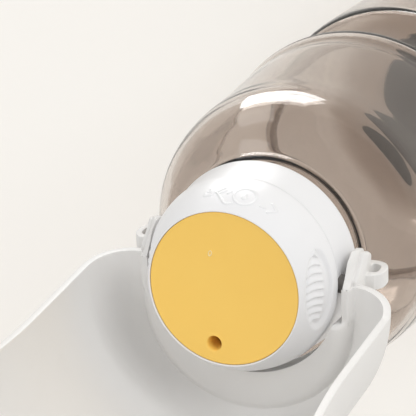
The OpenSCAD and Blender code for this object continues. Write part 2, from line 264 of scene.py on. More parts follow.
def clear_shell(name):
    """Clear smoky plastic with a blown wall's slow waves and a few hair lines."""
    tint = (0.735, 0.68, 0.64)
    deep = (0.70, 0.64, 0.595)
    finish = Finish(name, tint, 0.02, Transmission_Weight=1.0, IOR=1.47)
    waves = finish.noise(24, 2.0, (1.0, 1.0, 0.6))
    line = finish.scratches(160, (1.0, 1.0, 0.12)) * finish.stepped(finish.noise(45), 0.52, 0.62)
    finish.set("Base Color", finish.blend(waves, tint, deep))
    finish.set("Roughness", 0.012 + finish.noise(130, 3.0) * 0.03 + line * 0.12)
    finish.bump(waves + line * 0.01, 0.12)
    # the wall lets the studio light through to what stands behind it
    clear = finish.node("ShaderNodeBsdfTransparent", {}, {"Color": (0.80, 0.73, 0.67)})
    shadow = finish.node("ShaderNodeLightPath", output="Is Shadow Ray")
    shell = Value(finish, finish.shader.outputs[0])
    both = finish.node("ShaderNodeMixShader", {}, {0: shadow, 1: shell, 2: clear})
    finish.feed(finish.output.inputs["Surface"], both)
    return finish.material


def matt_yellow(name):
    """Warm yellow disc: matt, with soft cloudiness and rubbed patches."""
    color = (0.96, 0.63, 0.145)
    shade = (0.92, 0.565, 0.11)
    finish = Finish(name, color, 0.42, IOR=1.49)
    cloud = finish.noise(40, 4.0)
    worn = finish.stepped(finish.noise(110, 3.0), 0.55, 0.75)
    line = finish.scratches(200, (0.3, 1.0, 1.0)) * finish.stepped(finish.noise(70), 0.5, 0.62)
    finish.set("Base Color", finish.blend(cloud * 0.7, color, shade))
    finish.set("Roughness", 0.38 + cloud * 0.08 - worn * 0.06 + line * 0.06)
    finish.bump(finish.noise(2600, 2.0) + finish.noise(500, 2.0) * 0.5 - line * 0.3, 0.012)
    return finish.material


def rubber(name, color, shade, rough, grain=1500):
    """Rubber or silicone: a fine moulded grain with a little dust on it."""
    finish = Finish(name, color, rough, IOR=1.45)
    dust = finish.stepped(finish.noise(140, 4.0), 0.5, 0.72)
    finish.set("Base Color", finish.blend(dust * 0.6 + finish.noise(30) * 0.3, color, shade))
    finish.set("Roughness", rough + dust * 0.12 - 0.04)
    finish.bump(finish.noise(grain, 3.0) + finish.noise(grain * 0.25, 2.0) * 0.6, 0.03)
    return finish.material


def turned_steel(name, stretch):
    """Stainless steel with fine tool marks round its axis."""
    color = (0.66, 0.66, 0.67)
    finish = Finish(name, color, 0.28, Metallic=1.0)
    marks = finish.noise(1400, 2.0, stretch)
    stain = finish.stepped(finish.noise(120, 4.0), 0.5, 0.75)
    finish.set("Base Color", finish.blend(stain * 0.5, color, (0.50, 0.49, 0.48)))
    finish.set("Roughness", 0.2 + marks * 0.14 + stain * 0.12)
    finish.bump(marks, 0.01)
    return finish.material


# ---------------------------------------------------------------- mesh helpers
def turned(angle, radius):
    """The point at that angle and radius in plan."""
    return Vector((radius * math.cos(math.radians(angle)), radius * math.sin(math.radians(angle)), 0))


def arc(center, radius, start, end, steps):
    """Points of an arc in a flat drawing."""
    turns = [math.radians(start + (end - start) * i / steps) for i in range(steps + 1)]
    return [(center[0] + radius * math.cos(a), center[1] + radius * math.sin(a)) for a in turns]


def rounded(corners, steps=5):
    """A drawing whose corners (x, y, radius) are rounded. A radius of 0 keeps the corner."""
    points = []
    for i, (x, y, radius) in enumerate(corners):
        here = Vector((x, y))
        if radius == 0:
            points.append((x, y))
            continue
        before = Vector(corners[i - 1][:2]) - here
        after = Vector(corners[(i + 1) % len(corners)][:2]) - here
        half = before.angle(after) / 2
        reach = radius / math.tan(half)
        start, end = here + before.normalized() * reach, here + after.normalized() * reach
        middle = here + (before.normalized() + after.normalized()).normalized() * (radius / math.sin(half))
        first, last = start - middle, end - middle
        sweep = first.angle_signed(last)
        for k in range(steps + 1):
            spoke = first.copy()
            spoke.rotate(Matrix.Rotation(-sweep * k / steps, 2))
            points.append(tuple(middle + spoke))
    return points


def smooth_path(points, steps):
    """A smooth curve through flat points."""
    path = []
    last = len(points) - 1
    for i in range(last):
        a, b, c, d = (Vector(points[max(0, min(last, k))]) for k in (i - 1, i, i + 1, i + 2))
        for k in range(steps):
            t = k / steps
            path.append(tuple(0.5 * (2 * b + (c - a) * t + (2 * a - 5 * b + 4 * c - d) * t ** 2
                                     + (3 * b - a - 3 * c + d) * t ** 3)))
    return path + [tuple(points[last])]


def clamped(value):
    """The value, held between 0 and 1."""
    return max(0.0, min(1.0, value))


def step(low, high, value):
    """0 at low and 1 at high, smooth between, also where low is the larger."""
    t = clamped((value - low) / (high - low))
    return t * t * (3 - 2 * t)


def vertices(geometry):
    """Only the vertices of what an operator returns."""
    return [item for item in geometry if isinstance(item, bmesh.types.BMVert)]


def line_through(bm, points, closed=True):
    """Vertices at the points, and the edges that join them in turn."""
    verts = [bm.verts.new(point) for point in points]
    ends = verts[1:] + verts[:1] if closed else verts[1:]
    return verts, [bm.edges.new(pair) for pair in zip(verts, ends)]


def spun(bm, geometry, spans, climb=0.0):
    """Turns geometry about Z, in spans of (degrees, steps), and returns what lies at the end."""
    for degrees, steps in spans:
        made = bmesh.ops.spin(bm, geom=geometry, cent=(0, 0, 0), axis=(0, 0, 1), dvec=(0, 0, climb),
                              angle=math.radians(degrees), steps=steps, use_merge=False)
        geometry = made["geom_last"]
    return geometry


def lathe(bm, outline, spans, start=0.0, closed=True):
    """Turns a drawing of (radius, height) about Z, in spans of (degrees, steps)."""
    turn = Matrix.Rotation(math.radians(start), 3, "Z")
    verts, edges = line_through(bm, [turn @ Vector((r, 0, z)) for r, z in outline], closed)
    spun(bm, verts + edges, spans)
    bmesh.ops.remove_doubles(bm, verts=bm.verts, dist=0.002)
    bmesh.ops.recalc_face_normals(bm, faces=bm.faces)


def finish_piece(bm, name, material, body, nodes=(), place=None, smooth_angle=40):
    """Turns millimetres into metres, makes the object and hangs it on its body."""
    bmesh.ops.transform(bm, matrix=Matrix.Scale(MM, 4) @ (place or Matrix.Identity(4)), verts=bm.verts)
    mesh = bpy.data.meshes.new(name)
    bm.to_mesh(mesh)
    bm.free()
    mesh.shade_smooth()
    mesh.set_sharp_from_angle(angle=math.radians(smooth_angle))
    mesh.materials.append(material)
    piece = bpy.data.objects.new(name, mesh)
    bpy.context.scene.collection.objects.link(piece)
    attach(piece, body)
    if nodes:
        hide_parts(*nodes)
    return piece


def bake_modifiers(piece):
    """Keeps the shape that the piece's modifiers give, and removes them."""
    graph = bpy.context.evaluated_depsgraph_get()
    mesh = bpy.data.meshes.new_from_object(piece.evaluated_get(graph))
    piece.modifiers.clear()
    piece.data = mesh


# ---------------------------------------------------------------- bottle
def bottle_side():
    """Outside of the bottle from its heel to the foot of its neck."""
    ring, waist, lower = FACE_Z - 103, FACE_Z - 122, FACE_Z - 142
    side = [
        (LOWER_R, lower - 22), (LOWER_R, lower), (LOWER_R - 1.5, lower + 5.5),
        (WAIST_R + 1.4, waist - 7), (WAIST_R, waist), (WAIST_R + 1.4, waist + 6.5),
        (RING_R - 2, ring - 6), (RING_R, ring - 1.6), (RING_R, ring + 1.4),
        (UPPER_R + 2.3, ring + 5.5), (UPPER_R + 2.1, ring + 11), (UPPER_R + 0.8, ring + 29),
        (UPPER_R + 0.2, FACE_Z - 64), (UPPER_R, FACE_Z - 57), (UPPER_R - 0.5, FACE_Z - 52),
        (UPPER_R - 2, FACE_Z - 46.5), (UPPER_R - 5.8, FACE_Z - 41), (UPPER_R - 11, SHOULDER_Z - 8.2),
        (NECK_R + 5.2, SHOULDER_Z - 5.4), (NECK_R + 4.8, SHOULDER_Z - 3.9), (NECK_R + 3.8, SHOULDER_Z - 2.9),
        (NECK_R + 2.2, SHOULDER_Z - 2.7), (NECK_R + 0.5, SHOULDER_Z - 2.0), (NECK_R, SHOULDER_Z - 0.6),
    ]
    return arc((LOWER_R - HEEL_R, HEEL_R), HEEL_R, -90, 0, 14) + smooth_path(side, 8)


def moved_in(path, distance):
    """The path moved sideways, to its left."""
    last = len(path) - 1
    made = []
    for i, point in enumerate(path):
        along = Vector(path[min(i + 1, last)]) - Vector(path[max(i - 1, 0)])
        made.append(tuple(Vector(point) + distance * Vector((-along.y, along.x)).normalized()))
    return made


def make_bottle(material):
    """The blown bottle: the recess for its pad, its side, the lip of its neck, and its inside."""
    side = bottle_side()
    inside = [p for p in moved_in(side, BOTTLE_WALL) if p[0] > NECK_BORE_R and p[1] < SHOULDER_Z - 4]
    recess_r = PAD_R + 0.2
    floor_z = PAD_T + BOTTLE_WALL
    lip = 0.5
    outline = [(0, PAD_T), (recess_r - 0.05, PAD_T), (recess_r, PAD_T - 0.1), (recess_r + 0.05, 0.3)]
    outline += [(recess_r + 0.4, 0)] + side
    outline += [(NECK_R, NECK_TOP_Z - lip), (NECK_R - 0.15, NECK_TOP_Z - 0.15), (NECK_R - lip, NECK_TOP_Z)]
    outline += [(NECK_BORE_R + lip, NECK_TOP_Z), (NECK_BORE_R, NECK_TOP_Z - lip)]
    outline += [(NECK_BORE_R, SHOULDER_Z - 2)] + inside[::-1]
    outline += [(PAD_R + 1, floor_z - 0.4), (PAD_R - 1, floor_z), (0, floor_z + 0.6)]
    bm = bmesh.new()
    lathe(bm, outline, [(360, 144)], closed=False)
    finish_piece(bm, "bottle_shell", material, "bottle_body", ["bottle"])


def make_neck_thread(material):
    """A rounded screw thread round the neck."""
    root_r, flank_r, crest_r = NECK_R - 0.2, NECK_R + 0.14, NECK_R + 0.24
    start_z = COLLAR_LOW_Z + 0.6
    steps = 144
    ridge = [(root_r, 0), (flank_r, 0.25), (crest_r, 0.6), (flank_r, 0.95), (root_r, 1.2)]
    bm = bmesh.new()
    verts, edges = line_through(bm, [(r, 0, start_z + z) for r, z in ridge])
    end = spun(bm, verts + edges, [(360 * THREAD_TURNS, steps)], climb=CAP_RISE / steps)
    bm.faces.new(verts)
    bm.faces.new(vertices(end))
    bmesh.ops.recalc_face_normals(bm, faces=bm.faces)
    finish_piece(bm, "neck_thread", material, "bottle_body")


def make_base_pad(material):
    """The rubber pad with rings moulded into its sole."""
    rings, groove, first_r = 7, 0.45, 3
    pitch = (PAD_R - 4) / rings
    ridge = 0.3 + pitch * 0.35
    top = PAD_T - 0.05
    sole = []
    for r in (first_r + i * pitch for i in range(rings)):
        sole += [(r, 0), (r + 0.3, groove), (r + ridge, groove), (r + ridge + 0.3, 0)]
    outline = [(0, 0)] + sole + [(PAD_R - 0.4, 0), (PAD_R, 0.4), (PAD_R, top), (0, top)]
    bm = bmesh.new()
    lathe(bm, outline, [(360, 96)], closed=False)
    finish_piece(bm, "grip_pad", material, "bottle_body", ["base_pad"], smooth_angle=30)


# ---------------------------------------------------------------- collar
def make_collar(material):
    """The screw collar: slightly conical, with a rounded foot and shoulder."""
    low, top = COLLAR_LOW_Z, COLLAR_TOP_Z
    foot, shoulder = 1.3, 1.4
    outline = [(COLLAR_IN_R, low + 0.3), (COLLAR_IN_R + 0.3, low)]
    outline += arc((COLLAR_LOW_R - foot, low + foot), foot, -90, 4, 8)
    outline += [(COLLAR_TOP_R + 0.42, low + 6.5)]
    outline += arc((COLLAR_TOP_R - shoulder, top - shoulder), shoulder, 6, 90, 8)
    outline += [(COLLAR_IN_R, top)]
    bm = bmesh.new()
    lathe(bm, outline, [(360, 192)])
    finish_piece(bm, "screw_collar", material, "collar_body", ["collar"])


# ---------------------------------------------------------------- head
# A finger grip, in degrees round the ball and above its middle: an oval bed that sags at its ends.
GRIP_MIDDLE = -3.0
GRIP_HALF_ANGLE = 25.5
GRIP_RISE = 22.2
GRIP_HALF_RISE = 11.1
GRIP_SAG = 3.9
GRIP_DEPTH = 0.85
# Its ribs run from the bed's front edge to its foot. Their pitch and the flats between them change with it.
RIB_FOOT_RISE = 17.0
RIB_COUNT = 9
RIB_HEIGHT = 0.62
RIB_FIRST = -23.2
RIB_BOW = 2.4
RIB_PITCH_FRONT, RIB_PITCH_FOOT = 5.375, 4.9
RIB_FLAT_FRONT, RIB_FLAT_FOOT = 0.12, 0.45
# The turning marks, in degrees round the ball from their side's middle and above the ball's middle.
SIGN_HEIGHT = 0.22
SIGN_STROKE = 0.24
SIGN_LEFT, SIGN_RIGHT = -32, 21
SIGN_LOW_RISE, SIGN_HIGH_RISE = 16, 33.5
# the ball's radius in plan where the marks lie
SIGN_ROUND_R = 25.1
DROP_CENTER = (-3.42, 11.7)
DROP_R = 0.85
# half the degrees in which the ball has fine steps for a grip
GRIP_SPAN = 32


def grip_relief(turn, rise):
    """Height of the ball's surface in a finger grip, by degrees round the ball and above its middle."""
    side = (turn - GRIP_MIDDLE) / GRIP_HALF_ANGLE
    middle = GRIP_RISE - GRIP_SAG * side ** 2
    out = math.hypot(side, (rise - middle) / GRIP_HALF_RISE)
    if out >= 1.06:
        return 0.0
    bed = -GRIP_DEPTH * step(1.05, 0.84, out)
    front = middle + GRIP_HALF_RISE * math.sqrt(max(0.0, 1 - side ** 2))
    along = (front - rise) / max(1.0, front - RIB_FOOT_RISE)
    reach = clamped(along)
    pitch = RIB_PITCH_FRONT + (RIB_PITCH_FOOT - RIB_PITCH_FRONT) * reach
    first = RIB_FIRST + 0.5 * reach - RIB_BOW * math.sin(math.pi * reach ** 0.75)
    place = (turn - first) / pitch
    if not 0 <= math.floor(place) + 1 < RIB_COUNT:
        return bed
    flat = RIB_FLAT_FRONT + (RIB_FLAT_FOOT - RIB_FLAT_FRONT) * reach
    across = max(0.0, (place - math.floor(place) - flat) / (1 - flat))
    crest = (across ** 0.8) * (1 - across ** 7) * 1.25
    tip = step(1.07, 0.86, along + 0.1 * (across - 0.6) ** 2) * step(-0.02, 0.22, along)
    return bed + RIB_HEIGHT * crest * tip * step(1.1, 0.97, out)


def strokes(*points):
    """The strokes of a line through these points."""
    return list(zip(points, points[1:]))


def sign_strokes():
    """The moulded turning marks as strokes ((u, w), (u, w)), in millimetres round and up the ball."""
    lock = strokes((6.1, 10.5), (8.1, 10.5), (8.1, 12.1), (6.1, 12.1), (6.1, 10.5))
    lock += strokes(*[(7.1 + 0.65 * x, 10.4 - 0.95 * y) for x, y in arc((0, 0), 1, 0, 180, 6)])
    arrow = strokes((4.9, 10.9), (3.2, 12.9), (1.55, 14.8), (0.6, 15.2), (-1.2, 14.6))
    arrow += strokes((4.9, 10.9), (3.0, 9.2))
    arrow += strokes((3.9, 11.5), (2.2, 10.2))
    arrow += strokes((1.45, 11.3), (0.7, 10.4))
    ring = strokes(*arc((DROP_CENTER[0], 11.2), 3.1, 0, 360, 40))
    dash = strokes((-8.5, 12.4), (-9.7, 12.2))
    chevron = strokes((-11.1, 13.0), (-12.9, 11.0), (-10.8, 9.6))
    return lock + arrow + ring + dash + chevron


SIGN_STROKES = sign_strokes()


def stroke_distance(point, stroke):
    """How far a point lies from a stroke."""
    start, line = Vector(stroke[0]), Vector(stroke[1]) - Vector(stroke[0])
    share = clamped((point - start).dot(line) / line.length_squared)
    return (point - start - line * share).length


def sign_relief(turn, rise):
    """Height of the moulded marks, by degrees from the middle of the marks' side."""
    u, w = SIGN_ROUND_R * math.radians(turn), BALL_R * math.radians(rise)
    near = min(stroke_distance(Vector((u, w)), stroke) for stroke in SIGN_STROKES)
    relief = SIGN_HEIGHT * step(SIGN_STROKE + 0.16, SIGN_STROKE - 0.06, near)
    # the drop: round towards the face, drawn out to a point towards the collar
    du, dw = u - DROP_CENTER[0], w - DROP_CENTER[1]
    wide = DROP_R * (1 + 0.52 * min(0.0, dw))
    out = math.hypot(du / max(0.08, wide), dw / (DROP_R if dw > 0 else 2 * DROP_R))
    return max(relief, SIGN_HEIGHT * step(1.15, 0.8, out))


def mould_head(bm):
    """Presses the finger grips into the ball and raises the marks on it."""
    center = Vector((0, 0, BALL_Z))
    for vert in bm.verts:
        spoke = vert.co - center
        if abs(spoke.length - BALL_R) > 0.02 or vert.co.z < RIDGE_Z + 1.1:
            continue
        rise = math.degrees(math.asin(spoke.z / spoke.length))
        side = math.degrees(math.atan2(spoke.y, abs(spoke.x)))
        marks = math.degrees(math.atan2(spoke.x, -spoke.y))
        relief = 0.0
        if abs(side) < GRIP_SPAN:
            relief = grip_relief(side, rise)
        if SIGN_LEFT < marks < SIGN_RIGHT and SIGN_LOW_RISE < rise < SIGN_HIGH_RISE:
            relief += sign_relief(marks, rise)
        if relief:
            vert.co += spoke.normalized() * relief


def ball_rise(z, radius):
    """Degrees above the ball's middle at which a ball of that radius reaches z."""
    return math.degrees(math.asin((z - BALL_Z) / radius))


def make_head(material):
    """The hollow ball, with a ring web under the disc's edge, a rounded lip and a rounded foot."""
    edge_z = FACE_Z - 0.5
    lip_r = DISC_R + 0.05
    web_r, web_low = lip_r - 2, DISC_LOW_Z - HEAD_WEB
    inner = BALL_R - HEAD_WALL
    low, high = ball_rise(RIDGE_Z + 1.2, BALL_R), ball_rise(edge_z, BALL_R)
    outline = [(web_r, web_low)]
    outline += arc((0, BALL_Z), inner, ball_rise(web_low, inner), ball_rise(ROTOR_TOP_Z, inner), 6)
    outline += [(ROTOR_R, ROTOR_TOP_Z), (ROTOR_R, RIDGE_Z)]
    foot = [(1.5, 0), (0.85, 0.12), (0.35, 0.45), (0.1, 0.85)]
    outline += [(BALL_R - within, RIDGE_Z + up) for within, up in foot]
    # the rows are finer where the grips and the marks lie
    for start, end, steps in [(low, 11, 8), (11, 17, 11), (17, 32.6, 52), (32.6, high, 5)]:
        outline += arc((0, BALL_Z), BALL_R, start, end, steps)[:-1]
    outline += [(BALL_R * math.cos(math.radians(high)), edge_z)]
    lip = [(0.5, 0.22), (0.32, 0.03), (0.14, 0.03), (0, 0.16)]
    outline += [(lip_r + out, FACE_Z - down) for out, down in lip]
    outline += [(lip_r, DISC_LOW_Z), (web_r, DISC_LOW_Z)]
    grip, marks = 2 * GRIP_SPAN, SIGN_RIGHT - SIGN_LEFT
    before = 270 + SIGN_LEFT - (180 + GRIP_SPAN)
    after = 360 - GRIP_SPAN - (270 + SIGN_RIGHT)
    spans = [(grip, 110), (180 - grip, 90), (grip, 110), (before, 20), (marks, 150), (after, 28)]
    bm = bmesh.new()
    lathe(bm, outline, spans, start=-GRIP_SPAN)
    mould_head(bm)
    finish_piece(bm, "ball_head", material, "head_body", ["head_shell"])


def dish_height(x, y):
    """Height of the face disc's dished front."""
    dish_r = (DISC_R ** 2 + DISH ** 2) / (2 * DISH)
    return DISC_TOP_Z + dish_r - DISH - math.sqrt(dish_r ** 2 - x * x - y * y)


def disc_rings():
    """Rings (middle, radius, height) from the outlet's bore to the disc's edge, and round its back.

    A ring without a height follows the dish.
    """
    outlet, center = turned(90 - HEAD_PARK, OUTLET_OFFSET), Vector((0, 0, 0))
    top = dish_height(outlet.x, outlet.y)
    bore_r, back_z, sleeve_z = OUTLET_R - 0.1, DISC_LOW_Z + 0.02, DISC_LOW_Z - 7.5
    mouth = [(-0.3, 1.6), (-0.12, 0.6), (-0.06, 0.32), (0.04, 0.12), (0.2, 0.02)]
    edge = [(0.42, 0.01), (0.3, 0), (0.2, 0.05), (0.1, 0.16), (0.03, 0.3)]
    first_r, last_r, fans = OUTLET_R + 0.4, DISC_R - 0.55, 30
    rings = [(outlet, OUTLET_R - 0.3, sleeve_z)]
    rings += [(outlet, OUTLET_R + out, top - down) for out, down in mouth]
    for share in ((i / fans) ** 1.15 for i in range(fans + 1)):
        rings.append((outlet.lerp(center, share), first_r + (last_r - first_r) * share, None))
    rings += [(center, DISC_R - within, DISC_TOP_Z - down) for within, down in edge]
    rings += [(center, DISC_R - 0.01, back_z), (outlet, OUTLET_R + 1.5, back_z)]
    return rings + [(outlet, bore_r, DISC_LOW_Z - 0.1), (outlet, bore_r, sleeve_z)]


def make_face_disc(material):
    """The disc with its outlet sleeve, grown ring by ring."""
    rings = disc_rings()
    middle, radius, z = rings[0]
    start = Matrix.Translation((middle.x, middle.y, z))
    bm = bmesh.new()
    bmesh.ops.create_circle(bm, segments=144, radius=radius, matrix=start)
    edges = first_ring = bm.edges[:]
    for next_middle, next_radius, z in rings[1:]:
        made = bmesh.ops.extrude_edge_only(bm, edges=edges)["geom"]
        edges = [e for e in made if isinstance(e, bmesh.types.BMEdge)]
        for vert in vertices(made):
            spoke = Vector((vert.co.x - middle.x, vert.co.y - middle.y)) * (next_radius / radius)
            x, y = next_middle.x + spoke.x, next_middle.y + spoke.y
            vert.co = (x, y, dish_height(x, y) if z is None else z)
        middle, radius = next_middle, next_radius
    bmesh.ops.bridge_loops(bm, edges=first_ring + edges)
    bmesh.ops.recalc_face_normals(bm, faces=bm.faces)
    finish_piece(bm, "dished_face", material, "head_body", ["face_disc"])


def make_vent_plug(material):
    """The small oblong vent plug: a rounded rim round a sunken, slit top."""
    z = dish_height(PLUG_X, PLUG_Y)
    drawing = [(0, -0.02), (0.2, -0.02), (0.42, 0.02), (0.5, 0.12), (0.62, 0.18), (0.73, 0.13),
               (0.78, -0.02), (0.76, -1.2), (0, -1.2)]
    slit_half, slit_depth = 0.1, 0.12
    bm = bmesh.new()
    lathe(bm, [(r, z + up) for r, up in drawing], [(360, 40)], closed=False)
    for vert in bm.verts:
        if abs(vert.co.x) < slit_half and vert.co.z > z - 0.1:
            vert.co.z -= slit_depth * step(0.5, 0.35, abs(vert.co.y))
    bmesh.ops.scale(bm, vec=(0.8, 1.2, 1), verts=bm.verts)
    place = Matrix.Translation((PLUG_X, PLUG_Y, 0)) @ Matrix.Rotation(math.radians(PLUG_TURN), 4, "Z")
    finish_piece(bm, "vent_plug_tip", material, "head_body", ["vent_plug"], place)


# ---------------------------------------------------------------- bowl
# The bowl is drawn with its length along Z from the hinge axis and its depth along Y, then laid in place.
BOWL_PLACE = Matrix.Translation((0, 0, HINGE_Z)) @ Matrix.Rotation(math.radians(-BOWL_TILT), 4, "X")
LEDGE_ANGLE = math.degrees(math.atan2(LEDGE_Y, SLAB_X))
FLAT_R = BOWL_R - BOWL_CORNER
SKIRT_LOW = 0.3


def rim_height(z):
    """How far from the hinge axis the rim lies at z along the bowl."""
    return RIM_DROP - max(0.0, RIM_TURN - z) * math.tan(math.radians(RIM_RISE))


def bowl_profile():
    """Inside of the bowl: the skirt of its opening, the end wall, and on to the middle of its nose."""
    turn = BOWL_WALL + BOWL_CORNER
    tip_r = BOWL_R + BOWL_FLARE
    flare_end, nose_z = BOWL_FLARE_Z + BOWL_FLARE_LENGTH, BOWL_END - NOSE_R
    skirt = [(OPENING_R, z) for z in (SKIRT_LOW, 1.2, 2.2, 3.2, 4.2, 5.0)]
    wall = [(OPENING_R + (FLAT_R - OPENING_R) * i / 8, BOWL_WALL) for i in range(9)]
    corner = arc((FLAT_R, turn), BOWL_CORNER, -90, 0, 40)[1:]
    side = [(BOWL_R, turn + (BOWL_FLARE_Z - turn) * i / 12) for i in range(1, 13)]
    flare = []
    for i in range(1, 17):
        share = (1 - math.cos(math.pi * i / 16)) / 2
        flare.append((BOWL_R + BOWL_FLARE * share, BOWL_FLARE_Z + BOWL_FLARE_LENGTH * i / 16))
    run = [(tip_r, flare_end + (nose_z - flare_end) * i / 14) for i in range(1, 15)]
    nose = arc((tip_r - NOSE_R, nose_z), NOSE_R, 0, 90, 18)[1:]
    cap = [((tip_r - NOSE_R) * (1 - i / 10), BOWL_END) for i in range(1, 11)]
    return skirt, wall + corner, side + flare + run + nose + cap


def nest_height(x, y):
    """Front of the raised part of the end wall, which has a rounded edge and a slight crown."""
    flat = NEST_R - NEST_H
    out = math.hypot(x, y - NEST_Y)
    if out > NEST_R:
        return 0.0
    if out > flat:
        return BOWL_WALL + math.sqrt(NEST_H ** 2 - (out - flat) ** 2)
    return BOWL_WALL + NEST_H + NEST_CROWN * (1 - (out / flat) ** 2)


def larger(a, b, soft):
    """The larger of two heights, with a fillet where they meet."""
    share = clamped(0.5 + (a - b) / (2 * soft))
    return a * share + b * (1 - share) + soft * share * (1 - share)


def opening_radius(angle):
    """Radius of the head's opening in the end wall, by degrees from the hinge axis."""
    slab = SLAB_X / math.cos(math.radians(min(angle, 30)))
    return slab + (OPENING_R - slab) * step(LEDGE_ANGLE - 0.4, LEDGE_ANGLE + 1.6, angle)


def end_wall_height(x, y, base):
    """The end wall with its nest and the strips that run down from the ears."""
    strip = BOWL_WALL + (EAR_FRONT - BOWL_WALL) * step(EAR_X + 2.9, EAR_X + 1.5, abs(x))
    share = step(LEDGE_Y - 1.0, LEDGE_Y + 1.2, y)
    raised = strip * (1 - share) + larger(nest_height(x, y), base, 0.01) * share
    return larger(raised, base, 0.5)


def shape_bowl(bm, skirt_rows, wall_rows):
    """Moves the spun rows to the opening's edge, the nest and the rim."""
    tag = bm.verts.layers.int["row"]
    for vert in bm.verts:
        row, z = vert[tag], vert.co.z
        radius = math.hypot(vert.co.x, vert.co.y)
        if radius < RIM_DROP:
            vert.co.y = RIM_DROP
            continue
        angle = math.degrees(math.atan2(max(vert.co.y, 0.0), vert.co.x))
        rim = math.degrees(math.asin(max(-1.0, min(1.0, rim_height(z) / radius))))
        fold = rim + min(angle, 180 - angle) * (90 - rim) / 90
        angle = fold if angle < 90 else 180 - fold
        edge = opening_radius(fold)
        if row < skirt_rows:
            brink = turned(angle, edge)
            share = row / skirt_rows
            radius = edge + 0.5 * (1 - share)
            z = SKIRT_LOW + (end_wall_height(brink.x, brink.y, BOWL_WALL) - 0.5) * share ** 0.9
        elif row < skirt_rows + wall_rows and radius < FLAT_R:
            radius = edge + (FLAT_R - edge) * (radius - OPENING_R) / (FLAT_R - OPENING_R)
        spoke = turned(angle, radius)
        if skirt_rows <= row < skirt_rows + wall_rows:
            z = end_wall_height(spoke.x, spoke.y, z)
        vert.co = (spoke.x, spoke.y, z)


def make_bowl(material):
    """The trough: half a turn of its inside, shaped, then given its wall and its soft edges."""
    skirt, wall, rest = bowl_profile()
    beside, at_ledge = LEDGE_ANGLE - 0.6, 2.4
    below = 180 - 2 * (beside + at_ledge)
    bm = bmesh.new()
    tag = bm.verts.layers.int.new("row")
    verts, edges = line_through(bm, [(r, 0, z) for r, z in skirt + wall + rest], closed=False)
    for row, vert in enumerate(verts):
        vert[tag] = row
    spun(bm, verts + edges, [(beside, 14), (at_ledge, 8), (below, 128), (at_ledge, 8), (beside, 14)])
    bmesh.ops.remove_doubles(bm, verts=bm.verts, dist=1e-5)
    shape_bowl(bm, len(skirt), len(wall))
    bmesh.ops.remove_doubles(bm, verts=bm.verts, dist=1e-4)
    bmesh.ops.recalc_face_normals(bm, faces=bm.faces)
    # the water side faces the axis
    probe = min(bm.faces, key=lambda f: (f.calc_center_median() - Vector((0, BOWL_R, 30))).length)
    if probe.normal.y > 0:
        bmesh.ops.reverse_faces(bm, faces=bm.faces)
    piece = finish_piece(bm, "folding_bowl", material, "bowl_body", ["bowl"], BOWL_PLACE)
    thicken = piece.modifiers.new("wall", "SOLIDIFY")
    thicken.thickness = BOWL_WALL * MM
    thicken.offset = -1.0
    soften = piece.modifiers.new("edges", "BEVEL")
    soften.width = 0.55 * MM
    soften.segments = 3
    soften.limit_method = "ANGLE"
    soften.angle_limit = math.radians(55)
    bake_modifiers(piece)
    piece.data.shade_smooth()
    piece.data.set_sharp_from_angle(angle=math.radians(50))


# ---------------------------------------------------------------- ears
# Corners (y, z, radius) of the ear at its inner face and at its groove, and of its outer band.
EAR_INNER = [(9.0, 4.5, 0.5), (-0.9, 4.5, 1.5), (-3.2, 2.5, 1.5), (-6.9, 0.4, 2.0), (-8.6, -3.0, 2.0),
             (-7.9, -8.2, 2.2), (1.0, -7.0, 1.5), (2.6, 0.4, 1.0), (9.0, 0.4, 0.3)]
EAR_GROOVE = [(9.0, 4.5, 0.5), (-0.6, 4.5, 0.8), (-2.3, 1.5, 1.0), (-6.0, -2.3, 1.5), (-8.6, -4.8, 1.5),
              (-7.6, -8.6, 2.0), (1.0, -7.0, 1.5), (2.6, 0.4, 1.0), (9.0, 0.4, 0.3)]
BAND_INNER = [(1.9, 1.7, 0.5), (-2.0, 1.7, 0.8), (-5.6, -2.9, 1.2), (-8.0, -5.2, 1.2),
              (-7.0, -8.0, 1.2), (0.6, -6.6, 1.0)]
BAND_OUTER = [(1.2, -0.5, 0.4), (-1.5, -2.0, 0.8), (-4.9, -4.8, 0.8), (-6.9, -6.0, 0.8),
              (-6.4, -8.0, 0.7), (0.2, -7.2, 0.6)]
EAR_MIDDLE = (-3.0, -3.5)
# Corners (x, z, radius) of the strap loop in plan, of its hole, and of the web that joins it to the ear.
LOOP_FRAME = [(29.6, -3.3, 0.6), (37.2, -3.3, 3.7), (37.2, -12.1, 3.7), (29.6, -12.1, 2.6)]
LOOP_HOLE = [(32.5, -5.2, 0.5), (35.3, -5.2, 1.9), (35.3, -10.1, 1.9), (32.5, -10.1, 0.5)]
LOOP_WEB = [(30.4, -1.9, 0), (31.4, -2.2, 0), (32.4, -2.75, 0), (33.6, -3.2, 0), (35.2, -3.5, 0),
            (35.2, -5.0, 0), (30.4, -5.0, 0)]
LOOP_LOW, LOOP_HIGH = -2.2, 2.4
WEB_INSET = 0.1


def loft(bm, sections):
    """Joins outlines (y, z) that stand at different x, and closes both ends."""
    loops = [line_through(bm, [(at, y, z) for y, z in rounded(corners, 8)]) for at, corners in sections]
    for (_, first), (_, second) in zip(loops, loops[1:]):
        bmesh.ops.bridge_loops(bm, edges=first + second)
    bm.faces.new(loops[0][0])
    bm.faces.new(loops[-1][0])


def drawn_in(corners, share):
    """The corners drawn in towards the ear's middle."""
    middle_y, middle_z = EAR_MIDDLE
    return [(middle_y + (y - middle_y) * share, middle_z + (z - middle_z) * share, r * share)
            for y, z, r in corners]


def thickened(bm, faces, height):
    """Gives faces that lie flat in plan their height along Y."""
    made = bmesh.ops.extrude_face_region(bm, geom=faces, use_keep_orig=True)
    bmesh.ops.translate(bm, vec=(0, height, 0), verts=vertices(made["geom"]))


